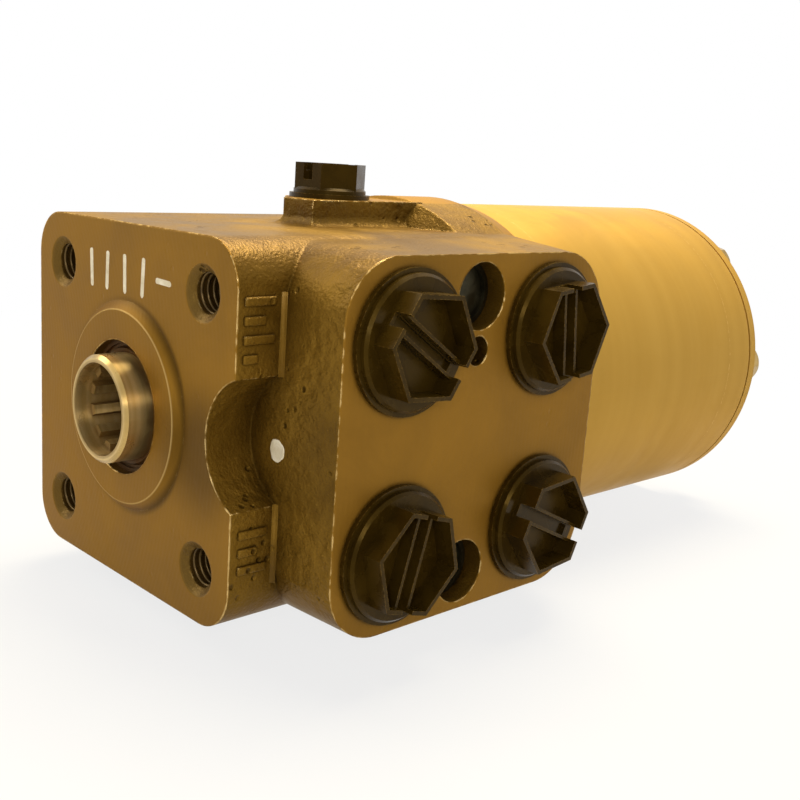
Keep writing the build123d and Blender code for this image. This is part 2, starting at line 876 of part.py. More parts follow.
with BuildPart() as distributor_plate:
    with BuildSketch(section(plate_front)):
        Circle(gear_radius)
        Circle(plate_bore_radius, mode=Mode.SUBTRACT)
        with PolarLocations(screw_circle_radius, lobe_count):
            Circle(screw_hole_radius, mode=Mode.SUBTRACT)
        with PolarLocations(channel_rear_radius, lobe_count, start_angle=180 / lobe_count):
            Circle(channel_radius, mode=Mode.SUBTRACT)
    extrude(amount=-plate_thickness)
save(distributor_plate.part, "distributor_plate")

rim_front = cover_rear - cover_rim
with BuildPart() as end_cover:
    add(turned([
        (0, cover_front),
        (gear_radius, cover_front),
        (gear_radius, rim_front - cover_groove_width),
        (gear_radius - cover_groove_depth, rim_front - cover_groove_width),
        (gear_radius - cover_groove_depth, rim_front),
        (gear_radius, rim_front),
        (gear_radius, cover_rear - cover_chamfer),
        (gear_radius - cover_chamfer, cover_rear),
        (0, cover_rear),
    ]))
    with Locations(section(cover_rear).rotated((180, 0, 0))):
        with PolarLocations(screw_circle_radius, lobe_count):
            Hole(screw_hole_radius)
save(end_cover.part, "end_cover")

o_ring_seats = {
    "o_ring_housing": housing_length - o_ring_section,
    "o_ring_plate": ring_front + o_ring_section,
    "o_ring_cover": cover_front - o_ring_section,
}
for name, y in o_ring_seats.items():
    with BuildPart() as o_ring:
        with BuildSketch(Plane.XY):
            with Locations((o_ring_radius, y)):
                RegularPolygon(
                    o_ring_section,
                    o_ring_sides,
                    major_radius=False,
                    rotation=180 / o_ring_sides,
                )
        revolve(axis=Axis.Y)
    save(o_ring.part, name)

# ---- Screws of the end cover ----
# Six plain screws and a special one, whose pin limits the lift of the check ball.

head_front = cover_rear + washer_thickness
screw_tip = housing_length - screw_reach
special_tip = bushing_front + bushing_length + 2 * running_clearance
pin_tip = valve_seat_y + check_ball_rise + check_ball_radius + check_lift + running_clearance


def cover_screw(angle, tip):
    """Return a hexagon screw at an angle on the screw circle that reaches to tip."""
    x, _, z = polar(screw_circle_radius, angle, 0)
    with BuildPart() as screw:
        with BuildSketch(section(head_front)):
            with Locations((x, z)):
                RegularPolygon(
                    screw_head_across_flats / 2, 6, major_radius=False, rotation=angle
                )
        extrude(amount=-screw_head_height)
        with BuildSketch(section(head_front)):
            with Locations((x, z)):
                Circle(screw_head_across_flats / 2 + screw_head_height / 2)
        extrude(amount=-screw_head_height, taper=screw_crown_angle, mode=Mode.INTERSECT)
        with BuildSketch(section(head_front)):
            with Locations((x, z)):
                Circle(screw_radius)
        extrude(amount=head_front - tip)
    return screw.part


with BuildPart() as cover_screws:
    for angle in screw_angles[:-1]:
        add(cover_screw(angle, screw_tip))
save(cover_screws.part, "cover_screws")

with BuildPart() as special_screw:
    add(cover_screw(valve_angle, special_tip))
    with BuildSketch(section(special_tip)):
        with PolarLocations(screw_circle_radius, 1, start_angle=valve_angle):
            Circle(stop_pin_radius)
    extrude(amount=special_tip - pin_tip)
save(special_screw.part, "special_screw")

with BuildPart() as screw_washers:
    with BuildSketch(section(cover_rear)):
        with PolarLocations(screw_circle_radius, lobe_count):
            Circle(washer_radius)
        with PolarLocations(screw_circle_radius, lobe_count):
            Circle(screw_hole_radius, mode=Mode.SUBTRACT)
    extrude(amount=-washer_thickness)
save(screw_washers.part, "screw_washers")

# ---- Check valve ----

with BuildPart() as check_ball:
    with Locations(polar(screw_circle_radius, valve_angle, valve_seat_y + check_ball_rise)):
        Sphere(check_ball_radius)
save(check_ball.part, "check_ball")

with BuildPart() as ball_bushing:
    with BuildSketch(section(bushing_front + bushing_length + running_clearance)):
        with PolarLocations(screw_circle_radius, 1, start_angle=valve_angle):
            Circle(screw_radius)
            Circle(stop_pin_radius + bushing_clearance, mode=Mode.SUBTRACT)
    extrude(amount=bushing_length)
save(ball_bushing.part, "ball_bushing")

# ---- Transport plugs ----
# Moulded plastic: a threaded hollow stem, a round flange and a hexagon cap with a driver slot
# between two ribs. Each has stopped at its own angle.


def transport_plug(plane, flange_radius, across_flats, height, stem_radius):
    """Return a plug seated on a plane, whose driver slot runs along the plane's local x."""
    hollow = across_flats / 2 - plug_wall
    with BuildPart() as plug:
        with BuildSketch(plane.offset(plug_seat)):
            Circle(flange_radius)
        extrude(amount=plug_disc_step_height)
        with BuildSketch(plane.offset(plug_seat)):
            Circle(flange_radius - plug_disc_step)
        extrude(amount=plug_flange_thickness)
        chamfer(faces().sort_by(Axis(plane.origin, plane.z_dir))[-1].edges(), plug_flange_chamfer)
        with BuildSketch(plane.offset(plug_seat)):
            RegularPolygon(across_flats / 2, 6, major_radius=False, rotation=30)
        extrude(amount=height)
        with BuildSketch(plane.offset(plug_seat + plug_flange_thickness)):
            RegularPolygon(hollow, 6, major_radius=False, rotation=30)
        extrude(amount=height, mode=Mode.SUBTRACT)
        with BuildSketch(plane.offset(plug_seat + plug_flange_thickness)):
            for side in (1, -1):
                with Locations((0, side * (plug_rib_gap + plug_rib_thickness) / 2)):
                    Rectangle(2 * hollow, plug_rib_thickness)
        extrude(amount=height - plug_flange_thickness - plug_rib_drop)
        with BuildSketch(plane.offset(height - plug_slot_depth)):
            Rectangle(across_flats + 2 * run_out, plug_slot_width)
        extrude(amount=height, mode=Mode.SUBTRACT)
        with BuildSketch(plane.offset(plug_seat + run_out)):
            Circle(stem_radius)
        extrude(amount=-(plug_stem_length + run_out))
        with BuildSketch(plane.offset(plug_seat)):
            Circle(stem_radius - plug_wall)
        extrude(amount=-plug_stem_length, mode=Mode.SUBTRACT)
    return plug.part


for name, (y, z, turn, gallery_y) in ports.items():
    slot_direction = (0, cos(radians(turn)), sin(radians(turn)))
    port_plane = Plane(origin=(port_face_x, y, z), x_dir=slot_direction, z_dir=(1, 0, 0))
    with BuildPart() as port_plug:
        add(transport_plug(
            port_plane,
            plug_flange_radius,
            plug_across_flats,
            plug_height,
            port_thread_radius - side_clearance,
        ))
    save(port_plug.part, name)

pilot_slot_direction = (cos(radians(pilot_plug_turn)), sin(radians(pilot_plug_turn)), 0)
with BuildPart() as pilot_port_plug:
    add(transport_plug(
        Plane(origin=(0, pilot_port_y, pad_top), x_dir=pilot_slot_direction, z_dir=(0, 0, 1)),
        pilot_plug_flange_radius,
        pilot_plug_across_flats,
        pilot_plug_height,
        pilot_port_radius - side_clearance,
    ))
save(pilot_port_plug.part, "pilot_port_plug")
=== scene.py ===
import math

import bmesh
import bpy
from mathutils import Matrix, Vector


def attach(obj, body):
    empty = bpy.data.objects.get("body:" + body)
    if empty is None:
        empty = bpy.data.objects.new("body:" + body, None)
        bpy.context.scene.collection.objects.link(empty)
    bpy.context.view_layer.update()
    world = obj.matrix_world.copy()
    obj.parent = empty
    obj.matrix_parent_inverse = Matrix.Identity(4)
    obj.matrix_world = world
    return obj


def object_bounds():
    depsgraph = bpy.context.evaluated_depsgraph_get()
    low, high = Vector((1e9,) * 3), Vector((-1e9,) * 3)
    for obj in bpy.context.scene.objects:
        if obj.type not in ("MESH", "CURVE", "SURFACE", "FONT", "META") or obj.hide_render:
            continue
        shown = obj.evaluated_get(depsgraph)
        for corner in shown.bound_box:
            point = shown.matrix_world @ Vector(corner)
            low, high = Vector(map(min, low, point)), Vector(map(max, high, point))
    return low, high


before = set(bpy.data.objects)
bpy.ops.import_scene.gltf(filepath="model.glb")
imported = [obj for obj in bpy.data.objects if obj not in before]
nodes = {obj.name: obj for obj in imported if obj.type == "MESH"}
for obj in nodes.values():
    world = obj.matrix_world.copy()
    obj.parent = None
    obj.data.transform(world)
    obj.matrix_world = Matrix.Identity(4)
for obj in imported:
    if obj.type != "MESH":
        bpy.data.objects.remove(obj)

cad_low, cad_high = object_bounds()


# ---- Housing casting ----
# The valve housing is a grey-iron casting, drilled and milled, then dipped in a brown
# protective film. The cast skin is grainy, the milled faces are smoother, and the film is
# rubbed through to bright metal on the corners that knock against things. Painted shade
# darkens its corners, recesses and holes, the pilot ring's foot and the face beside the neck,
# and a painted highlight runs round the pilot ring's rim.

def feed(tree, socket, value):
    """Link an input to another node's output, or set its value."""
    if isinstance(value, bpy.types.NodeSocket):
        tree.links.new(value, socket)
    else:
        socket.default_value = value


def add_node(tree, kind, inputs=None, **settings):
    """Put a node in a tree, set its properties and feed its inputs."""
    node = tree.nodes.new(kind)
    for name, value in settings.items():
        setattr(node, name, value)
    for name, value in (inputs or {}).items():
        feed(tree, node.inputs[name], value)
    return node


def open_group(name, inputs, outputs):
    """Start a shader node group and return its tree, its input node and its output node."""
    tree = bpy.data.node_groups.new(name, "ShaderNodeTree")
    for label, kind, value in inputs:
        socket = tree.interface.new_socket(label, in_out="INPUT", socket_type=kind)
        socket.default_value = value
    for label, kind in outputs:
        tree.interface.new_socket(label, in_out="OUTPUT", socket_type=kind)
    return tree, tree.nodes.new("NodeGroupInput"), tree.nodes.new("NodeGroupOutput")


def open_finish(name, **constants):
    """Start a material and return it with its tree and its Principled shader."""
    finish = bpy.data.materials.new(name)
    finish.use_nodes = True
    tree = finish.node_tree
    shader = tree.nodes["Principled BSDF"]
    for label, value in constants.items():
        shader.inputs[label.replace("_", " ")].default_value = value
    return finish, tree, shader


def place_group(tree, name, **values):
    """Place a shader node group in a material with its own values."""
    node = add_node(tree, "ShaderNodeGroup", node_tree=bpy.data.node_groups[name])
    for label, value in values.items():
        feed(tree, node.inputs[label.replace("_", " ")], value)
    return node


def blend_colour(tree, amount, first, second):
    """Return the colour socket of a mix between two colours."""
    mix = add_node(tree, "ShaderNodeMix", data_type="RGBA")
    feed(tree, mix.inputs[0], amount)
    feed(tree, mix.inputs[6], first)
    feed(tree, mix.inputs[7], second)
    return mix.outputs[2]


def compute(tree, operation, *values, clamp=False):
    """Return the value socket of a Math node."""
    node = add_node(tree, "ShaderNodeMath", operation=operation, use_clamp=clamp)
    for socket, value in zip(node.inputs, values):
        feed(tree, socket, value)
    return node.outputs[0]


def spread(tree, value, low, high, to_low=0.0, to_high=1.0):
    """Return a value mapped smoothly from one range to another."""
    node = add_node(
        tree, "ShaderNodeMapRange",
        {"Value": value, "From Min": low, "From Max": high, "To Min": to_low, "To Max": to_high},
        interpolation_type="SMOOTHSTEP",
    )
    return node.outputs["Result"]


def from_main_axis(tree, axes):
    """Return the distance from the main axis, which runs along Y."""
    squares = [compute(tree, "POWER", axes.outputs[label], 2.0) for label in ("X", "Z")]
    return compute(tree, "SQRT", compute(tree, "ADD", *squares))


def roughen(tree, shader, value, smooth, rough):
    """Drive the roughness between two limits by a value from 0 to 1."""
    tree.links.new(spread(tree, value, 0.0, 1.0, smooth, rough), shader.inputs["Roughness"])


def emboss(tree, shader, height, strength, distance, normal=None):
    """Drive the normal by a height, on top of another normal if one is given."""
    bump = add_node(
        tree, "ShaderNodeBump", {"Height": height, "Strength": strength, "Distance": distance}
    )
    if normal is not None:
        tree.links.new(normal, bump.inputs["Normal"])
    tree.links.new(bump.outputs["Normal"], shader.inputs["Normal"])


def dress(finish, *names):
    """Give CAD nodes a finish in place of the one they were packed with."""
    for name in names:
        slots = nodes[name].data.materials
        slots.clear()
        slots.append(finish)


SHELTER_REACH = 0.0015

# rubbed corners: how far the surface turns within a small radius, where nothing shelters it
tree, given, result = open_group(
    "rubbed_corners",
    [("Radius", "NodeSocketFloat", 0.0006), ("Amount", "NodeSocketFloat", 1.0),
     ("Grain", "NodeSocketFloat", 900.0), ("Knocks", "NodeSocketFloat", 0.0)],
    [("Mask", "NodeSocketFloat"), ("Rounded", "NodeSocketVector")],
)
softened = add_node(tree, "ShaderNodeBevel", {"Radius": given.outputs["Radius"]}, samples=6)
geometry = add_node(tree, "ShaderNodeNewGeometry")
turn = add_node(
    tree, "ShaderNodeVectorMath", {0: softened.outputs["Normal"], 1: geometry.outputs["Normal"]},
    operation="DOT_PRODUCT",
)
shelter = add_node(
    tree, "ShaderNodeAmbientOcclusion", {"Distance": SHELTER_REACH}, samples=4, only_local=True
)
place = add_node(tree, "ShaderNodeTexCoord")
grain = add_node(
    tree, "ShaderNodeTexNoise",
    {"Vector": place.outputs["Object"], "Scale": given.outputs["Grain"], "Detail": 5.0},
)
edge = compute(tree, "SUBTRACT", 1.0, turn.outputs["Value"])
open_edge = compute(tree, "MULTIPLY", edge, spread(tree, shelter.outputs["AO"], 0.72, 0.92))
rub = compute(
    tree, "ADD", spread(tree, grain.outputs["Fac"], 0.38, 0.68, 0.15, 1.3), given.outputs["Knocks"]
)
patchy = compute(tree, "MULTIPLY", open_edge, rub)
mask = compute(
    tree, "MULTIPLY", spread(tree, patchy, 0.10, 0.30), given.outputs["Amount"], clamp=True
)
tree.links.new(mask, result.inputs["Mask"])
tree.links.new(softened.outputs["Normal"], result.inputs["Rounded"])

# oil mottle: the slow drift of colour in a film of oil or passivation, and small bright grains
tree, given, result = open_group(
    "oil_mottle",
    [("Scale", "NodeSocketFloat", 60.0), ("Speck", "NodeSocketFloat", 700.0)],
    [("Drift", "NodeSocketFloat"), ("Specks", "NodeSocketFloat")],
)
place = add_node(tree, "ShaderNodeTexCoord")
drift = add_node(
    tree, "ShaderNodeTexNoise",
    {"Vector": place.outputs["Object"], "Scale": given.outputs["Scale"], "Detail": 7.0,
     "Roughness": 0.62, "Distortion": 0.4},
)
specks = add_node(
    tree, "ShaderNodeTexNoise",
    {"Vector": place.outputs["Object"], "Scale": given.outputs["Speck"], "Detail": 3.0,
     "Roughness": 0.7},
)
tree.links.new(spread(tree, drift.outputs["Fac"], 0.28, 0.72), result.inputs["Drift"])
tree.links.new(spread(tree, specks.outputs["Fac"], 0.62, 0.78), result.inputs["Specks"])

# dirt and painted shade: darker where walls meet and down in recesses, where shade falls
tree, given, result = open_group(
    "settled_dirt",
    [("Reach", "NodeSocketFloat", 0.005)],
    [("Mask", "NodeSocketFloat")],
)
shelter = add_node(
    tree, "ShaderNodeAmbientOcclusion", {"Distance": given.outputs["Reach"]}, samples=6
)
tree.links.new(spread(tree, shelter.outputs["AO"], 0.35, 0.95, 1.0, 0.0), result.inputs["Mask"])

# cast skin: the print of the sand, coarse lumps under a fine grit, with a few open pits
tree, given, result = open_group(
    "sand_skin",
    [("Coarse", "NodeSocketFloat", 420.0), ("Fine", "NodeSocketFloat", 1900.0)],
    [("Height", "NodeSocketFloat"), ("Pits", "NodeSocketFloat")],
)
place = add_node(tree, "ShaderNodeTexCoord")
coarse = add_node(
    tree, "ShaderNodeTexNoise",
    {"Vector": place.outputs["Object"], "Scale": given.outputs["Coarse"], "Detail": 3.0},
)
fine = add_node(
    tree, "ShaderNodeTexNoise",
    {"Vector": place.outputs["Object"], "Scale": given.outputs["Fine"], "Detail": 2.0},
)
holes = add_node(
    tree, "ShaderNodeTexVoronoi", {"Vector": place.outputs["Object"], "Scale": 330.0}
)
sparse = add_node(
    tree, "ShaderNodeTexNoise", {"Vector": place.outputs["Object"], "Scale": 75.0, "Detail": 1.0}
)
pits = compute(
    tree, "MULTIPLY", spread(tree, holes.outputs["Distance"], 0.10, 0.26, 1.0, 0.0),
    spread(tree, sparse.outputs["Fac"], 0.56, 0.66),
)
patches = add_node(
    tree, "ShaderNodeTexNoise", {"Vector": place.outputs["Object"], "Scale": 34.0, "Detail": 1.0}
)
lumps = compute(
    tree, "MULTIPLY", coarse.outputs["Fac"],
    spread(tree, patches.outputs["Fac"], 0.42, 0.66, 0.25, 1.3),
)
grit = compute(tree, "MULTIPLY_ADD", fine.outputs["Fac"], 0.22, lumps)
tree.links.new(compute(tree, "SUBTRACT", grit, pits), result.inputs["Height"])
tree.links.new(pits, result.inputs["Pits"])

# cutter marks: the wide arcs that a face mill leaves across a flat face
tree, given, result = open_group(
    "cutter_marks",
    [("Feed", "NodeSocketFloat", 0.0011), ("Sweep", "NodeSocketFloat", 0.09)],
    [("Height", "NodeSocketFloat")],
)
place = add_node(tree, "ShaderNodeTexCoord")
axes = add_node(tree, "ShaderNodeSeparateXYZ", {"Vector": place.outputs["Object"]})
side = compute(tree, "ADD", axes.outputs["X"], axes.outputs["Y"])
bow = compute(tree, "SQRT", compute(
    tree, "ADD", compute(tree, "POWER", compute(tree, "ADD", side, given.outputs["Sweep"]), 2.0),
    compute(tree, "POWER", axes.outputs["Z"], 2.0),
))
ridge = compute(tree, "SINE", compute(
    tree, "MULTIPLY", compute(tree, "DIVIDE", bow, given.outputs["Feed"]), 2.0 * math.pi
))
tree.links.new(ridge, result.inputs["Height"])

CAST_DARK = (0.086, 0.044, 0.0048, 1.0)
CAST_LIGHT = (0.195, 0.108, 0.0145, 1.0)
MILLED_DARK = (0.205, 0.103, 0.0125, 1.0)
MILLED_LIGHT = (0.262, 0.135, 0.0180, 1.0)
FILM_GRAIN = (0.360, 0.220, 0.050, 1.0)
DIRT_AND_SHADE_COLOUR = (0.024, 0.011, 0.0015, 1.0)
RUBBED_IRON = (0.850, 0.620, 0.270, 1.0)
BORE_WITH_SHADE = (0.145, 0.088, 0.024, 1.0)
AMBER_GLOSS = (1.0, 0.66, 0.18, 1.0)

# where the milled faces start, and the four column holes, in metres
FRONT_FACE_Y = 0.0003
PORT_FACE_X = 0.0588
PAD_TOP_Z = 0.0468
REAR_FACE_Y = 0.0945
HOLE_OFFSET = 0.02915
HOLE_RADIUS = 0.0060
HOLE_MOUTH_Y = 0.00003
HOLE_END_Y = 0.018

# the corner of the flange that has been knocked, and a patch of painted shade on the front face to
# the right of the neck
KNOCK_X = 0.0385
KNOCK_Z = -0.013
KNOCK_Y = 0.0020
FRONT_SHADE_CENTRE = (0.0300, 0.0, -0.0040)
FRONT_SHADE_INNER = 0.004
FRONT_SHADE_OUTER = 0.019

# the raised pilot ring: its rim, where a painted highlight runs round, and its foot, where a line
# of painted shade grows darker towards +X
PILOT_FACE_RADIUS = 0.0218
PILOT_BASE_RADIUS = 0.0237
PILOT_FOOT_WIDTH = 0.0016
PILOT_EDGE_WIDTH = 0.00028
PILOT_LIGHT_X = -0.012
PILOT_DARK_X = 0.018

casting, tree, shader = open_finish("oiled_casting", IOR=1.5)
shader.inputs["Specular IOR Level"].default_value = 0.22
shader.inputs["Specular Tint"].default_value = AMBER_GLOSS
place = add_node(tree, "ShaderNodeTexCoord")
axes = add_node(tree, "ShaderNodeSeparateXYZ", {"Vector": place.outputs["Object"]})
front_face = compute(tree, "LESS_THAN", axes.outputs["Y"], FRONT_FACE_Y)
port_face = compute(tree, "GREATER_THAN", axes.outputs["X"], PORT_FACE_X)
pad_face = compute(tree, "GREATER_THAN", axes.outputs["Z"], PAD_TOP_Z)
rear_face = compute(tree, "GREATER_THAN", axes.outputs["Y"], REAR_FACE_Y)
milled = compute(
    tree, "MAXIMUM", compute(tree, "MAXIMUM", front_face, port_face),
    compute(tree, "MAXIMUM", pad_face, rear_face),
)
across = compute(tree, "SUBTRACT", compute(tree, "ABSOLUTE", axes.outputs["X"]), HOLE_OFFSET)
aloft = compute(tree, "SUBTRACT", compute(tree, "ABSOLUTE", axes.outputs["Z"]), HOLE_OFFSET)
from_hole = compute(tree, "SQRT", compute(
    tree, "ADD", compute(tree, "POWER", across, 2.0), compute(tree, "POWER", aloft, 2.0)
))
cut_hole = compute(
    tree, "MULTIPLY", compute(tree, "LESS_THAN", from_hole, HOLE_RADIUS),
    compute(tree, "MULTIPLY", compute(tree, "GREATER_THAN", axes.outputs["Y"], HOLE_MOUTH_Y),
            compute(tree, "LESS_THAN", axes.outputs["Y"], HOLE_END_Y)),
)
knocked = compute(
    tree, "MULTIPLY", compute(tree, "GREATER_THAN", axes.outputs["X"], KNOCK_X),
    compute(tree, "MULTIPLY", compute(tree, "LESS_THAN", axes.outputs["Z"], KNOCK_Z),
            compute(tree, "LESS_THAN", axes.outputs["Y"], KNOCK_Y)),
)
mottle = place_group(tree, "oil_mottle", Scale=38.0, Speck=1500.0)
corners = place_group(
    tree, "rubbed_corners", Radius=0.0008, Amount=1.0, Grain=520.0,
    Knocks=compute(tree, "MULTIPLY", knocked, 0.6),
)
# painted shade, with some dirt, darkens the casting's corners, creases and recesses and the ground
# round the plugs
shade_and_dirt = place_group(tree, "settled_dirt", Reach=0.010)
crease_shade = place_group(tree, "settled_dirt", Reach=0.0022)
skin = place_group(tree, "sand_skin", Coarse=330.0, Fine=1500.0)
marks = place_group(tree, "cutter_marks", Feed=0.0013, Sweep=0.09)
cast_film = blend_colour(tree, mottle.outputs["Drift"], CAST_DARK, CAST_LIGHT)
milled_film = blend_colour(tree, mottle.outputs["Drift"], MILLED_DARK, MILLED_LIGHT)
film = blend_colour(tree, milled, cast_film, milled_film)
rough_only = compute(tree, "SUBTRACT", 1.0, milled)
grains = compute(
    tree, "MULTIPLY", mottle.outputs["Specks"], compute(tree, "MULTIPLY", rough_only, 0.5)
)
grained = blend_colour(tree, grains, film, FILM_GRAIN)
# the column holes take a darker bore colour, partly bare iron and partly painted shade down the
# holes
drilled_and_shaded = blend_colour(tree, compute(tree, "MULTIPLY", cut_hole, 0.75), grained, BORE_WITH_SHADE)
pitted = compute(tree, "MULTIPLY", skin.outputs["Pits"], compute(tree, "MULTIPLY", rough_only, 0.7))
# painted shade: the front face darkens to the right of the neck, on the side away from the light
front_shade_reach = add_node(
    tree, "ShaderNodeVectorMath", {0: place.outputs["Object"], 1: FRONT_SHADE_CENTRE}, operation="DISTANCE"
)
front_shade = compute(
    tree, "MULTIPLY",
    spread(tree, front_shade_reach.outputs["Value"], FRONT_SHADE_INNER, FRONT_SHADE_OUTER, 0.62, 0.0), front_face,
)
from_axis = from_main_axis(tree, axes)
from_foot = compute(tree, "ABSOLUTE", compute(tree, "SUBTRACT", from_axis, PILOT_BASE_RADIUS))
from_rim = compute(tree, "ABSOLUTE", compute(tree, "SUBTRACT", from_axis, PILOT_FACE_RADIUS))
# painted shade: a dark line at the pilot ring's foot, darker on the side away from the light
ring_foot_shade = compute(
    tree, "MULTIPLY", spread(tree, from_foot, 0.0, PILOT_FOOT_WIDTH, 1.0, 0.0),
    compute(
        tree, "MULTIPLY", front_face,
        spread(tree, axes.outputs["X"], PILOT_LIGHT_X, PILOT_DARK_X, 0.12, 0.72),
    ),
)
# painted highlight: a bright line in the worn-iron colour round the pilot ring's rim
ring_rim_highlight = compute(
    tree, "MULTIPLY", spread(tree, from_rim, 0.0, PILOT_EDGE_WIDTH, 0.34, 0.0), front_face
)
dirt_and_shade_mask = compute(
    tree, "MAXIMUM", compute(tree, "MULTIPLY", shade_and_dirt.outputs["Mask"], 0.75),
    compute(tree, "MAXIMUM", compute(tree, "MULTIPLY", crease_shade.outputs["Mask"], 0.9), ring_foot_shade),
)
# the dark colour mixes real pits with painted shade in corners and recesses, at the pilot ring's
# foot and beside the neck
shaded_and_soiled = blend_colour(
    tree, compute(tree, "MAXIMUM", compute(tree, "MAXIMUM", dirt_and_shade_mask, pitted), front_shade),
    drilled_and_shaded, DIRT_AND_SHADE_COLOUR,
)
# real rubbed corners and the painted highlight on the pilot ring's rim share the bright iron colour
worn_and_highlit = compute(tree, "MAXIMUM", corners.outputs["Mask"], ring_rim_highlight)
worn = blend_colour(tree, worn_and_highlit, shaded_and_soiled, RUBBED_IRON)
tree.links.new(worn, shader.inputs["Base Color"])
tree.links.new(compute(tree, "MULTIPLY_ADD", worn_and_highlit, 0.4, 0.35), shader.inputs["Metallic"])
roughen(tree, shader, mottle.outputs["Drift"], smooth=0.36, rough=0.50)
cast_relief = compute(tree, "MULTIPLY", skin.outputs["Height"], rough_only)
cut_relief = compute(
    tree, "MULTIPLY", compute(tree, "MULTIPLY", marks.outputs["Height"], milled), 0.006
)
fine_relief = compute(tree, "MULTIPLY_ADD", skin.outputs["Height"], 0.10, cut_relief)
emboss(
    tree, shader, compute(tree, "ADD", cast_relief, fine_relief), strength=0.8, distance=0.0009,
    normal=corners.outputs["Rounded"],
)
dress(casting, "housing")


# ---- Threads of the column holes ----
# The four holes for the steering column are tapped M10 x 1.5. The crests of the thread are
# bare iron and catch the light down the holes.

CREST_DARK = (0.075, 0.045, 0.012, 1.0)
CREST_LIGHT = (0.165, 0.104, 0.032, 1.0)

tapped, tree, shader = open_finish("tapped_iron", Metallic=0.6)
mottle = place_group(tree, "oil_mottle", Scale=300.0, Speck=2500.0)
crest = blend_colour(tree, mottle.outputs["Drift"], CREST_DARK, CREST_LIGHT)
tree.links.new(crest, shader.inputs["Base Color"])
roughen(tree, shader, mottle.outputs["Drift"], smooth=0.3, rough=0.45)


def open_geometry(name, sizes):
    """Start a Geometry Nodes tree with named sizes; return it, its input and its output."""
    tree = bpy.data.node_groups.new(name, "GeometryNodeTree")
    for label, kind, value in sizes:
        socket = tree.interface.new_socket(label, in_out="INPUT", socket_type=kind)
        if value is not None:
            socket.default_value = value
    tree.interface.new_socket("Geometry", in_out="OUTPUT", socket_type="NodeSocketGeometry")
    return tree, tree.nodes.new("NodeGroupInput"), tree.nodes.new("NodeGroupOutput")


def grow(name, tree, finish, **sizes):
    """Run a Geometry Nodes tree with its sizes set and keep the result as a plain mesh."""
    holder = bpy.data.objects.new(name, bpy.data.meshes.new(name + "_seed"))
    bpy.context.scene.collection.objects.link(holder)
    growth = holder.modifiers.new("growth", "NODES")
    growth.node_group = tree
    for item in tree.interface.items_tree:
        if item.in_out != "INPUT":
            continue
        label = item.name.replace(" ", "_")
        if label in sizes:
            growth[item.identifier] = sizes[label]
        elif item.socket_type == "NodeSocketMaterial":
            growth[item.identifier] = finish
    bpy.context.view_layer.update()
    graph = bpy.context.evaluated_depsgraph_get()
    mesh = bpy.data.meshes.new_from_object(holder.evaluated_get(graph))
    holder.modifiers.remove(growth)
    holder.data = mesh
    mesh.name = name
    return holder


tree, given, result = open_geometry(
    "tapped_thread",
    [("Crest Radius", "NodeSocketFloat", 0.0043), ("Crest Width", "NodeSocketFloat", 0.0004),
     ("Pitch", "NodeSocketFloat", 0.0015), ("Turns", "NodeSocketFloat", 9.0),
     ("Start", "NodeSocketFloat", 0.0018), ("Hole Spacing", "NodeSocketFloat", 0.0583),
     ("Finish", "NodeSocketMaterial", None)],
)
run = compute(tree, "MULTIPLY", given.outputs["Turns"], given.outputs["Pitch"])
helix = add_node(
    tree, "GeometryNodeCurveSpiral",
    {"Resolution": 28, "Rotations": given.outputs["Turns"],
     "Start Radius": given.outputs["Crest Radius"], "End Radius": given.outputs["Crest Radius"],
     "Height": run},
)
ridge = add_node(
    tree, "GeometryNodeCurvePrimitiveCircle",
    {"Resolution": 6, "Radius": given.outputs["Crest Width"]},
)
thread = add_node(
    tree, "GeometryNodeCurveToMesh",
    {"Curve": helix.outputs["Curve"], "Profile Curve": ridge.outputs["Curve"], "Fill Caps": True},
)
laid = add_node(
    tree, "GeometryNodeTransform",
    {"Geometry": thread.outputs["Mesh"], "Rotation": (-math.pi / 2.0, 0.0, 0.0)},
)
corner_grid = add_node(
    tree, "GeometryNodeMeshGrid",
    {"Size X": given.outputs["Hole Spacing"], "Size Y": given.outputs["Hole Spacing"],
     "Vertices X": 2, "Vertices Y": 2},
)
depth = add_node(tree, "ShaderNodeCombineXYZ", {"Y": given.outputs["Start"]})
hole_points = add_node(
    tree, "GeometryNodeTransform",
    {"Geometry": corner_grid.outputs["Mesh"], "Translation": depth.outputs["Vector"],
     "Rotation": (math.pi / 2.0, 0.0, 0.0)},
)
copies = add_node(
    tree, "GeometryNodeInstanceOnPoints",
    {"Points": hole_points.outputs["Geometry"], "Instance": laid.outputs["Geometry"]},
)
real = add_node(
    tree, "GeometryNodeRealizeInstances", {"Geometry": copies.outputs["Instances"]}
)
finished = add_node(
    tree, "GeometryNodeSetMaterial",
    {"Geometry": real.outputs["Geometry"], "Material": given.outputs["Finish"]},
)
tree.links.new(finished.outputs["Geometry"], result.inputs["Geometry"])
threads = grow("column_hole_threads", tree, tapped, Start=0.0019, Turns=9.0)
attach(threads, "unit_body")


# ---- Paint marks ----
# An inspector's marks in thick white marker on the column face, and a dab of white paint on
# the shoulder behind the notch. They are thin skins that lie on the casting.

PAINT_WORN = (0.62, 0.56, 0.42, 1.0)
PAINT_FRESH = (0.86, 0.83, 0.74, 1.0)
PAINT_THIN = (0.40, 0.31, 0.15, 1.0)
PAINT_SUNK = 0.00002
PAINT_CROWN = 0.9

marker, tree, shader = open_finish("white_marker", Metallic=0.0)
mottle = place_group(tree, "oil_mottle", Scale=260.0, Speck=1800.0)
paint = blend_colour(tree, mottle.outputs["Drift"], PAINT_WORN, PAINT_FRESH)
thin = blend_colour(
    tree, compute(tree, "MULTIPLY", mottle.outputs["Specks"], 0.6), paint, PAINT_THIN
)
tree.links.new(thin, shader.inputs["Base Color"])
roughen(tree, shader, mottle.outputs["Drift"], smooth=0.5, rough=0.7)


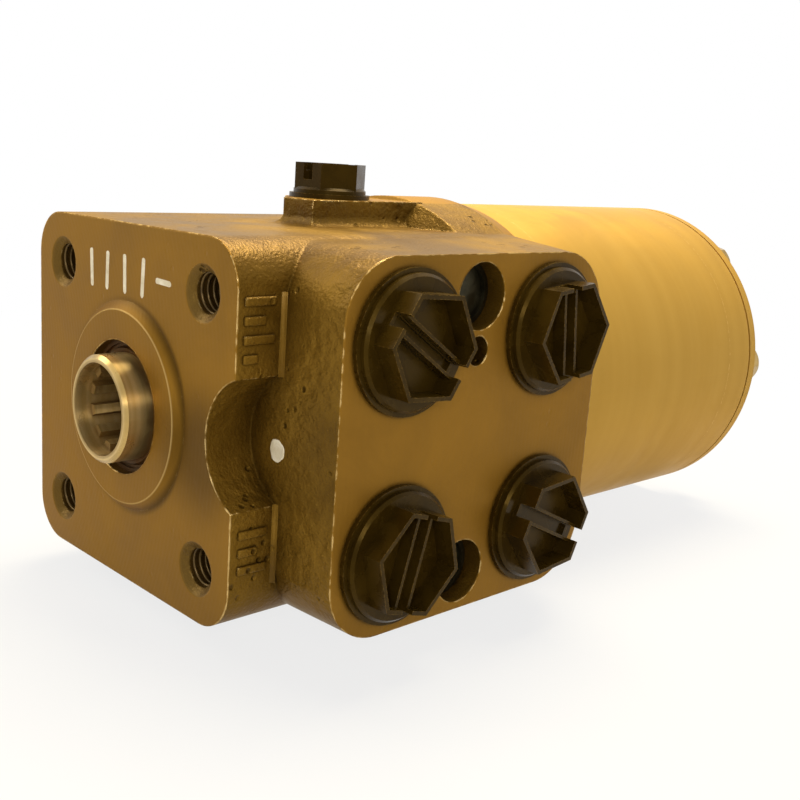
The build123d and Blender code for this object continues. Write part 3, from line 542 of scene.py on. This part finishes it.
def paint_dab(name, middle, length, width, lean, thickness, steps=28):
    """Lay a rounded, slightly uneven dab of paint on a wall that faces -Y."""
    rim = []
    for k in range(steps):
        angle = 2.0 * math.pi * k / steps
        waver = 1.0 + 0.05 * math.sin(3.0 * angle + 40.0 * middle[0]) + 0.03 * math.sin(
            7.0 * angle + 90.0 * middle[2]
        )
        straight = max(length - width, 0.0) / 2.0
        u = width / 2.0 * math.cos(angle) * waver
        v = width / 2.0 * math.sin(angle) * waver + math.copysign(straight, math.sin(angle))
        rim.append((
            middle[0] + u * math.cos(lean) - v * math.sin(lean),
            middle[2] + u * math.sin(lean) + v * math.cos(lean),
        ))
    low = [(x, middle[1] + PAINT_SUNK, z) for x, z in rim]
    high = [
        (middle[0] + PAINT_CROWN * (x - middle[0]), middle[1] - thickness,
         middle[2] + PAINT_CROWN * (z - middle[2]))
        for x, z in rim
    ]
    sides = [(k, (k + 1) % steps, steps + (k + 1) % steps, steps + k) for k in range(steps)]
    mesh = bpy.data.meshes.new(name)
    mesh.from_pydata(
        low + high, [], sides + [tuple(range(steps, 2 * steps)), tuple(reversed(range(steps)))]
    )
    mesh.materials.append(marker)
    dab = bpy.data.objects.new(name, mesh)
    bpy.context.scene.collection.objects.link(dab)
    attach(dab, "unit_body")


BLOCK_FRONT = 0.0115
TALLY_HEIGHT = 0.0295
TALLY_STROKES = [(-0.0155, 0.05), (-0.0085, -0.04), (-0.0010, 0.03), (0.0065, -0.06)]
TALLY_THICKNESS = 0.00004
for k, (across, lean) in enumerate(TALLY_STROKES):
    paint_dab(
        f"tally_stroke_{k + 1}", (across, 0.0, TALLY_HEIGHT), length=0.0090, width=0.0014,
        lean=lean, thickness=TALLY_THICKNESS,
    )
paint_dab(
    "tally_dash", (0.0146, 0.0, TALLY_HEIGHT), length=0.0062, width=0.0013,
    lean=1.54, thickness=TALLY_THICKNESS,
)
paint_dab(
    "shoulder_dab", (0.0405, BLOCK_FRONT, -0.0021), length=0.0049, width=0.0047,
    lean=0.2, thickness=0.00010,
)


# ---- Foundry marks and corner fillets ----
# The pattern leaves raised bars on the flange's side, above and below the notch, and the
# casting has a small fillet where the flange's side meets the port block.

FLANGE_SIDE = 0.0409
BAR_HEIGHT = 0.00060
BAR_WIDTH = 0.0018
BAR_ROUNDING = 0.00030
FILLET_RADIUS = 0.0009
FILLET_ROOT = 0.0002
FILLET_FROM = 0.0134
FILLET_TO = 0.0306

sheltered, tree, shader = open_finish("sheltered_casting", Metallic=0.0, Roughness=0.5)
shader.inputs["Specular Tint"].default_value = AMBER_GLOSS
mottle = place_group(tree, "oil_mottle", Scale=60.0, Speck=1500.0)
skin = place_group(tree, "sand_skin", Coarse=330.0, Fine=1500.0)
tree.links.new(
    blend_colour(tree, mottle.outputs["Drift"], CAST_DARK, CAST_LIGHT), shader.inputs["Base Color"]
)
emboss(tree, shader, skin.outputs["Height"], strength=0.6, distance=0.0006)


def cast_piece(name, mesh, finish):
    """Put a mesh in the scene as a part of the casting."""
    mesh.materials.append(finish)
    piece = bpy.data.objects.new(name, mesh)
    bpy.context.scene.collection.objects.link(piece)
    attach(piece, "unit_body")


def foundry_bars(name, bars):
    """Raise rounded bars on the flange's side; each bar is (start, end, height)."""
    shape = bmesh.new()
    for start, end, height in bars:
        block = bmesh.ops.create_cube(shape, size=1.0)["verts"]
        bmesh.ops.scale(shape, vec=(2.0 * BAR_HEIGHT, end - start, BAR_WIDTH), verts=block)
        bmesh.ops.translate(shape, vec=(FLANGE_SIDE, (start + end) / 2.0, height), verts=block)
    bmesh.ops.bevel(
        shape, geom=shape.edges[:], offset=BAR_ROUNDING, segments=3, profile=0.6, affect="EDGES"
    )
    mesh = bpy.data.meshes.new(name)
    shape.to_mesh(mesh)
    shape.free()
    for face in mesh.polygons:
        face.use_smooth = True
    cast_piece(name, mesh, casting)


# each bar runs along Y from its start to its end, at its own height
foundry_bars("foundry_bars_upper", [
    (0.0016, 0.0092, 0.0290), (0.0016, 0.0068, 0.0252),
    (0.0016, 0.0092, 0.0214), (0.0016, 0.0052, 0.0176),
])
foundry_bars("foundry_bars_lower", [
    (0.0020, 0.0092, -0.0186), (0.0020, 0.0068, -0.0224), (0.0020, 0.0092, -0.0262),
])


def corner_fillet(name, low, high, radius=FILLET_RADIUS, steps=6):
    """Fill the corner between the flange's side and the block with a concave fillet."""
    profile = [(FLANGE_SIDE - FILLET_ROOT, BLOCK_FRONT + FILLET_ROOT)]
    for k in range(steps + 1):
        angle = math.pi / 2.0 * k / steps
        profile.append((
            FLANGE_SIDE + radius * (1.0 - math.cos(angle)),
            BLOCK_FRONT - radius * (1.0 - math.sin(angle)),
        ))
    count = len(profile)
    points = [(x, y, low) for x, y in profile] + [(x, y, high) for x, y in profile]
    faces = [(k, (k + 1) % count, count + (k + 1) % count, count + k) for k in range(count)]
    faces += [tuple(reversed(range(count))), tuple(range(count, 2 * count))]
    mesh = bpy.data.meshes.new(name)
    mesh.from_pydata(points, [], faces)
    shape = bmesh.new()
    shape.from_mesh(mesh)
    bmesh.ops.recalc_face_normals(shape, faces=shape.faces[:])
    shape.to_mesh(mesh)
    shape.free()
    for face in mesh.polygons:
        face.use_smooth = len(face.vertices) == 4
    cast_piece(name, mesh, sheltered)


corner_fillet("upper_corner_fillet", FILLET_FROM, FILLET_TO)
corner_fillet("lower_corner_fillet", -FILLET_TO, -FILLET_FROM)


# ---- Gear set and end cover ----
# The distributor plate, the gerotor ring and the end cover are turned and ground iron, flush
# with each other and clamped by seven screws. Their skin is bare metal under thin oil.

# turned marks: fine rings round the main axis, as a lathe leaves them
tree, given, result = open_group(
    "turned_marks",
    [("Pitch", "NodeSocketFloat", 0.0004), ("Wander", "NodeSocketFloat", 0.3)],
    [("Height", "NodeSocketFloat"), ("Streak", "NodeSocketFloat")],
)
place = add_node(tree, "ShaderNodeTexCoord")
axes = add_node(tree, "ShaderNodeSeparateXYZ", {"Vector": place.outputs["Object"]})
along = compute(tree, "ADD", axes.outputs["Y"], from_main_axis(tree, axes))
count = compute(tree, "DIVIDE", along, given.outputs["Pitch"])
rings = add_node(tree, "ShaderNodeCombineXYZ", {
    "X": count, "Y": compute(tree, "MULTIPLY", axes.outputs["X"], 8.0),
    "Z": compute(tree, "MULTIPLY", axes.outputs["Z"], 8.0),
})
tool = add_node(
    tree, "ShaderNodeTexNoise", {"Vector": rings.outputs["Vector"], "Scale": 1.0, "Detail": 3.0}
)
wide = add_node(
    tree, "ShaderNodeVectorMath", {0: rings.outputs["Vector"], "Scale": 0.06}, operation="SCALE"
)
streak = add_node(
    tree, "ShaderNodeTexNoise", {"Vector": wide.outputs["Vector"], "Scale": 1.0, "Detail": 5.0}
)
tree.links.new(tool.outputs["Fac"], result.inputs["Height"])
tree.links.new(spread(tree, streak.outputs["Fac"], 0.3, 0.7), result.inputs["Streak"])

IRON_DARK = (0.410, 0.238, 0.040, 1.0)
IRON_LIGHT = (0.445, 0.264, 0.049, 1.0)
IRON_EDGE = (0.78, 0.56, 0.24, 1.0)

ground, tree, shader = open_finish("turned_iron", Metallic=0.5)
shader.inputs["Specular Tint"].default_value = AMBER_GLOSS
marks = place_group(tree, "turned_marks", Pitch=0.0005)
mottle = place_group(tree, "oil_mottle", Scale=40.0, Speck=500.0)
corners = place_group(tree, "rubbed_corners", Radius=0.0005, Amount=0.8, Grain=900.0)
skin = blend_colour(tree, marks.outputs["Streak"], IRON_DARK, IRON_LIGHT)
oiled = blend_colour(
    tree, compute(tree, "MULTIPLY", mottle.outputs["Specks"], 0.25), skin, IRON_DARK
)
worn = blend_colour(tree, corners.outputs["Mask"], oiled, IRON_EDGE)
tree.links.new(worn, shader.inputs["Base Color"])
roughen(tree, shader, mottle.outputs["Drift"], smooth=0.34, rough=0.46)
emboss(tree, shader, marks.outputs["Height"], strength=0.08, distance=0.0001)
dress(ground, "gerotor_ring", "distributor_plate", "end_cover")


# ---- Spool, sleeve and bearing ----
# The spool, the sleeve and the bearing are hardened and ground steel. The neck of the spool
# shows: bright outside, with lathe rings that stretch the light along it, and oil inside,
# darkened further by painted shade down between the splines.

STEEL_DARK = (0.520, 0.340, 0.105, 1.0)
STEEL_LIGHT = (0.740, 0.540, 0.235, 1.0)
OIL_FILM = (0.17, 0.098, 0.024, 1.0)
OIL_POOL_AND_SHADE = (0.110, 0.056, 0.010, 1.0)
NECK_INSIDE = 0.0106
NECK_OUTSIDE = 0.0112
NECK_END = -0.0066

polished, tree, shader = open_finish("ground_steel", Metallic=1.0)
shader.inputs["Specular IOR Level"].default_value = 0.2
marks = place_group(tree, "turned_marks", Pitch=0.00014)
mottle = place_group(tree, "oil_mottle", Scale=90.0, Speck=800.0)
shade_and_dirt = place_group(tree, "settled_dirt", Reach=0.012)
place = add_node(tree, "ShaderNodeTexCoord")
axes = add_node(tree, "ShaderNodeSeparateXYZ", {"Vector": place.outputs["Object"]})
from_axis = from_main_axis(tree, axes)
end_film = compute(
    tree, "MULTIPLY", compute(tree, "LESS_THAN", axes.outputs["Y"], NECK_END),
    spread(tree, from_axis, NECK_INSIDE, NECK_OUTSIDE, 0.5, 0.1),
)
# oil on the neck's end and inside, and painted shade down in the splines, darken the steel and take
# away its metal
oil_and_shade_inside = compute(tree, "MAXIMUM", end_film, compute(
    tree, "MULTIPLY", shade_and_dirt.outputs["Mask"],
    spread(tree, from_axis, NECK_INSIDE, NECK_OUTSIDE, 1.0, 0.0),
))
steel = blend_colour(tree, marks.outputs["Streak"], STEEL_DARK, STEEL_LIGHT)
oily = blend_colour(
    tree, compute(tree, "MULTIPLY", mottle.outputs["Drift"], 0.35), steel, OIL_FILM
)
pooled_and_shaded = blend_colour(tree, compute(tree, "MULTIPLY", oil_and_shade_inside, 0.92), oily, OIL_POOL_AND_SHADE)
tree.links.new(pooled_and_shaded, shader.inputs["Base Color"])
tree.links.new(compute(tree, "MULTIPLY_ADD", oil_and_shade_inside, -0.85, 1.0), shader.inputs["Metallic"])
tree.links.new(
    compute(tree, "MULTIPLY_ADD", oil_and_shade_inside, 0.30,
            spread(tree, mottle.outputs["Drift"], 0.0, 1.0, 0.26, 0.36)),
    shader.inputs["Roughness"],
)
around = add_node(tree, "ShaderNodeTangent", direction_type="RADIAL", axis="Y")
tree.links.new(around.outputs["Tangent"], shader.inputs["Tangent"])
shader.inputs["Anisotropic"].default_value = 0.9
shader.inputs["Anisotropic Rotation"].default_value = 0.25
emboss(tree, shader, marks.outputs["Height"], strength=0.2, distance=0.00003)
dress(
    polished, "spool", "sleeve", "outer_race", "inner_race", "thrust_needles", "cross_pin",
    "check_ball", "gerotor_star",
)


# ---- Pressed and forged inner pieces ----
# The cage, the spring ring and the bushing are pressed sheet steel. The drive shaft and its
# spacer are forged and darker, and the leaf springs are blued strip.

SHEET_DARK = (0.34, 0.32, 0.28, 1.0)
SHEET_LIGHT = (0.52, 0.50, 0.45, 1.0)
SCALE_DARK = (0.13, 0.12, 0.11, 1.0)
SCALE_LIGHT = (0.26, 0.24, 0.21, 1.0)
BLUE_DARK = (0.10, 0.13, 0.22, 1.0)
BLUE_LIGHT = (0.24, 0.26, 0.33, 1.0)

pressed, tree, shader = open_finish("pressed_steel", Metallic=0.9)
mottle = place_group(tree, "oil_mottle", Scale=160.0, Speck=900.0)
sheet = blend_colour(tree, mottle.outputs["Drift"], SHEET_DARK, SHEET_LIGHT)
tree.links.new(sheet, shader.inputs["Base Color"])
roughen(tree, shader, mottle.outputs["Drift"], smooth=0.3, rough=0.45)
dress(pressed, "needle_cage", "spring_ring", "ball_bushing")

forged, tree, shader = open_finish("forged_steel", Metallic=0.85)
mottle = place_group(tree, "oil_mottle", Scale=110.0, Speck=700.0)
skin = place_group(tree, "sand_skin", Coarse=500.0, Fine=1500.0)
scale = blend_colour(tree, mottle.outputs["Drift"], SCALE_DARK, SCALE_LIGHT)
tree.links.new(scale, shader.inputs["Base Color"])
roughen(tree, shader, mottle.outputs["Drift"], smooth=0.38, rough=0.55)
emboss(tree, shader, skin.outputs["Height"], strength=0.2, distance=0.0002)
dress(forged, "drive_shaft", "spacer")

blued, tree, shader = open_finish("blued_strip", Metallic=0.95)
mottle = place_group(tree, "oil_mottle", Scale=200.0, Speck=900.0)
strip = blend_colour(tree, mottle.outputs["Drift"], BLUE_DARK, BLUE_LIGHT)
tree.links.new(strip, shader.inputs["Base Color"])
roughen(tree, shader, mottle.outputs["Drift"], smooth=0.22, rough=0.34)
dress(blued, "centring_springs")


# ---- Seals ----
# Moulded nitrile rubber: the dust seal shows round the neck, and the rest are inside.

NITRILE_DARK = (0.030, 0.012, 0.004, 1.0)
NITRILE_LIGHT = (0.085, 0.036, 0.012, 1.0)

rubber, tree, shader = open_finish("nitrile_rubber", Metallic=0.0, IOR=1.5)
shader.inputs["Specular Tint"].default_value = AMBER_GLOSS
mottle = place_group(tree, "oil_mottle", Scale=180.0, Speck=1200.0)
skin = place_group(tree, "sand_skin", Coarse=900.0, Fine=3000.0)
nitrile = blend_colour(tree, mottle.outputs["Drift"], NITRILE_DARK, NITRILE_LIGHT)
tree.links.new(nitrile, shader.inputs["Base Color"])
roughen(tree, shader, mottle.outputs["Drift"], smooth=0.45, rough=0.65)
emboss(tree, shader, skin.outputs["Height"], strength=0.15, distance=0.0001)
dress(rubber, "dust_seal", "shaft_seal", "o_ring_housing", "o_ring_plate", "o_ring_cover")


# ---- Screws, washers and cup plugs ----
# The cover screws are steel with yellow passivated zinc, and the cup plugs are dark pressed
# steel. The washers are soft aluminium, which seals under the heads.

ZINC_DARK = (0.36, 0.23, 0.065, 1.0)
ZINC_LIGHT = (0.56, 0.39, 0.13, 1.0)
ZINC_EDGE = (0.74, 0.70, 0.60, 1.0)
CUP_DARK = (0.040, 0.037, 0.022, 1.0)
CUP_LIGHT = (0.095, 0.086, 0.052, 1.0)
CUP_GRIME_AND_SHADE = (0.020, 0.016, 0.008, 1.0)
WASHER_DARK = (0.60, 0.58, 0.52, 1.0)
WASHER_LIGHT = (0.78, 0.76, 0.70, 1.0)

zinc, tree, shader = open_finish("yellow_zinc", Metallic=0.9)
mottle = place_group(tree, "oil_mottle", Scale=150.0, Speck=900.0)
corners = place_group(tree, "rubbed_corners", Radius=0.0004, Amount=0.8, Grain=1200.0)
plating = blend_colour(tree, mottle.outputs["Drift"], ZINC_DARK, ZINC_LIGHT)
worn = blend_colour(tree, corners.outputs["Mask"], plating, ZINC_EDGE)
tree.links.new(worn, shader.inputs["Base Color"])
roughen(tree, shader, mottle.outputs["Drift"], smooth=0.26, rough=0.42)
dress(zinc, "cover_screws", "special_screw")

cup, tree, shader = open_finish("cup_steel", Metallic=0.85)
mottle = place_group(tree, "oil_mottle", Scale=220.0, Speck=1600.0)
# grime and painted shade darken the cup plugs where they sit low in their recesses
shade_and_dirt = place_group(tree, "settled_dirt", Reach=0.004)
pressing = blend_colour(tree, mottle.outputs["Drift"], CUP_DARK, CUP_LIGHT)
grimy_and_shaded = blend_colour(
    tree, compute(tree, "MULTIPLY", shade_and_dirt.outputs["Mask"], 0.8), pressing, CUP_GRIME_AND_SHADE
)
tree.links.new(grimy_and_shaded, shader.inputs["Base Color"])
roughen(tree, shader, mottle.outputs["Drift"], smooth=0.28, rough=0.42)
dress(cup, "cup_plugs")

annealed, tree, shader = open_finish("soft_aluminium", Metallic=1.0)
mottle = place_group(tree, "oil_mottle", Scale=200.0, Speck=900.0)
disc = blend_colour(tree, mottle.outputs["Drift"], WASHER_DARK, WASHER_LIGHT)
tree.links.new(disc, shader.inputs["Base Color"])
roughen(tree, shader, mottle.outputs["Drift"], smooth=0.3, rough=0.42)
dress(annealed, "screw_washers")


# ---- Transport plugs ----
# Screwed into the ports until the hoses are fitted: glossy moulded plastic, almost black,
# with a round flange and a hollow hexagon cap.

PLASTIC_DARK = (0.022, 0.0120, 0.0013, 1.0)
PLASTIC_LIGHT = (0.042, 0.0240, 0.0030, 1.0)
PLASTIC_SCUFF = (0.30, 0.18, 0.045, 1.0)

plastic, tree, shader = open_finish("dark_plastic", Metallic=0.0, IOR=1.5)
shader.inputs["Specular IOR Level"].default_value = 0.16
shader.inputs["Specular Tint"].default_value = AMBER_GLOSS
mottle = place_group(tree, "oil_mottle", Scale=120.0, Speck=900.0)
skin = place_group(tree, "sand_skin", Coarse=700.0, Fine=2600.0)
corners = place_group(tree, "rubbed_corners", Radius=0.0004, Amount=0.6, Grain=1500.0)
moulded = blend_colour(tree, mottle.outputs["Drift"], PLASTIC_DARK, PLASTIC_LIGHT)
scuffed = blend_colour(tree, corners.outputs["Mask"], moulded, PLASTIC_SCUFF)
tree.links.new(scuffed, shader.inputs["Base Color"])
roughen(tree, shader, mottle.outputs["Drift"], smooth=0.2, rough=0.34)
emboss(tree, shader, skin.outputs["Height"], strength=0.12, distance=0.0001)
dress(
    plastic, "port_plug_p", "port_plug_t", "port_plug_l", "port_plug_r", "pilot_port_plug",
)


# ---- Studio ----
# A pale floor under the unit, a large warm lamp above, two smaller ones at the sides, a
# small cool one beside the camera, and the camera on the port side.

FLOOR_GAP = 0.0002
FLOOR_Z = cad_low.z - FLOOR_GAP
FLOOR_REACH = 3.0
FLOOR_DARK = (0.52, 0.51, 0.48, 1.0)
FLOOR_LIGHT = (0.54, 0.53, 0.50, 1.0)
SHADOW_START = 0.12
SHADOW_END = 0.45

floor_mesh = bpy.data.meshes.new("floor")
floor_mesh.from_pydata(
    [(-FLOOR_REACH, -FLOOR_REACH, FLOOR_Z), (FLOOR_REACH, -FLOOR_REACH, FLOOR_Z),
     (FLOOR_REACH, FLOOR_REACH, FLOOR_Z), (-FLOOR_REACH, FLOOR_REACH, FLOOR_Z)],
    [], [(0, 1, 2, 3)],
)
floor = bpy.data.objects.new("floor", floor_mesh)
bpy.context.scene.collection.objects.link(floor)
pale, tree, shader = open_finish("pale_floor", Roughness=0.9)
mottle = place_group(tree, "oil_mottle", Scale=3.0, Speck=40.0)
tree.links.new(
    blend_colour(tree, mottle.outputs["Drift"], FLOOR_DARK, FLOOR_LIGHT),
    shader.inputs["Base Color"],
)


def seen_directly(tree):
    """Return 1 for rays from the camera, and for those that metal and gloss send on."""
    rays = add_node(tree, "ShaderNodeLightPath")
    either = compute(tree, "MAXIMUM", rays.outputs["Is Camera Ray"], rays.outputs["Is Glossy Ray"])
    return compute(tree, "MAXIMUM", either, rays.outputs["Is Transmission Ray"])


sheet = add_node(tree, "ShaderNodeEmission", {"Color": (1.0, 1.0, 1.0, 1.0), "Strength": 1.0})
place = add_node(tree, "ShaderNodeTexCoord")
away = add_node(tree, "ShaderNodeVectorMath", {0: place.outputs["Object"]}, operation="LENGTH")
lifted = compute(
    tree, "MULTIPLY", seen_directly(tree),
    spread(tree, away.outputs["Value"], SHADOW_START, SHADOW_END, 0.8, 1.0),
)
both = add_node(tree, "ShaderNodeMixShader", {0: lifted, 1: shader.outputs[0], 2: sheet.outputs[0]})
tree.links.new(both.outputs[0], tree.nodes["Material Output"].inputs["Surface"])
floor_mesh.materials.append(pale)

world = bpy.data.worlds.new("studio")
bpy.context.scene.world = world
world.use_nodes = True
tree = world.node_tree
tree.nodes.clear()
soft = add_node(tree, "ShaderNodeBackground", {"Color": (1.0, 0.90, 0.66, 1.0), "Strength": 0.27})
white = add_node(tree, "ShaderNodeBackground", {"Color": (1.0, 1.0, 1.0, 1.0), "Strength": 1.0})
both = add_node(
    tree, "ShaderNodeMixShader", {0: seen_directly(tree), 1: soft.outputs[0], 2: white.outputs[0]}
)
out = add_node(tree, "ShaderNodeOutputWorld")
tree.links.new(both.outputs[0], out.inputs["Surface"])


def soft_lamp(name, place, target, size, power, colour):
    """Hang a square area lamp that faces a target."""
    lamp = bpy.data.lights.new(name, "AREA")
    lamp.shape = "SQUARE"
    lamp.size = size
    lamp.energy = power
    lamp.color = colour
    holder = bpy.data.objects.new(name, lamp)
    holder.location = place
    holder.rotation_euler = (Vector(target) - Vector(place)).to_track_quat("-Z", "Y").to_euler()
    bpy.context.scene.collection.objects.link(holder)


middle = (0.0, 0.09, 0.0)
neck = (0.0, 0.0, 0.0)
soft_lamp(
    "overhead", (-0.10, 0.28, 0.75), middle, size=0.5, power=16.0, colour=(1.0, 0.90, 0.68)
)
soft_lamp(
    "port_side", (0.7, -0.35, 0.35), middle, size=0.25, power=1.7, colour=(1.0, 0.90, 0.72)
)
soft_lamp(
    "front_left", (-0.42, -0.24, 0.34), neck, size=0.25, power=1.1, colour=(1.0, 0.93, 0.78)
)
soft_lamp(
    "flash", (0.200, -0.150, 0.085), neck, size=0.010, power=0.09, colour=(0.93, 0.93, 1.0)
)

# the camera's focal length and optical centre, in pixels of a square picture
PICTURE_WIDTH = 800.0
FOCAL_LENGTH = 1071.17
CENTRE_X = 348.34
CENTRE_Y = 399.76
SENSOR_WIDTH = 36.0

# where the camera stands, in metres, and the angles that it looks from
CAMERA_PLACE = (0.20555, -0.12073, 0.05701)
CAMERA_AZIMUTH = math.radians(47.52)
CAMERA_ELEVATION = math.radians(12.70)
CAMERA_ROLL = math.radians(3.40)

camera = bpy.data.cameras.new("camera")
camera.sensor_width = SENSOR_WIDTH
camera.lens = FOCAL_LENGTH / PICTURE_WIDTH * SENSOR_WIDTH
camera.shift_x = (PICTURE_WIDTH / 2.0 - CENTRE_X) / PICTURE_WIDTH
camera.shift_y = (CENTRE_Y - PICTURE_WIDTH / 2.0) / PICTURE_WIDTH
camera.clip_start = 0.01
camera.clip_end = 20.0
viewer = bpy.data.objects.new("camera", camera)
back = Vector((
    math.sin(CAMERA_AZIMUTH) * math.cos(CAMERA_ELEVATION),
    -math.cos(CAMERA_AZIMUTH) * math.cos(CAMERA_ELEVATION),
    math.sin(CAMERA_ELEVATION),
))
right = Vector((math.cos(CAMERA_AZIMUTH), math.sin(CAMERA_AZIMUTH), 0.0))
up = back.cross(right)
turned_right = math.cos(CAMERA_ROLL) * right + math.sin(CAMERA_ROLL) * up
turned_up = -math.sin(CAMERA_ROLL) * right + math.cos(CAMERA_ROLL) * up
stand = Matrix((turned_right, turned_up, back)).transposed().to_4x4()
stand.translation = Vector(CAMERA_PLACE)
viewer.matrix_world = stand
bpy.context.scene.collection.objects.link(viewer)
bpy.context.scene.camera = viewer
bpy.context.scene.view_settings.view_transform = "Standard"
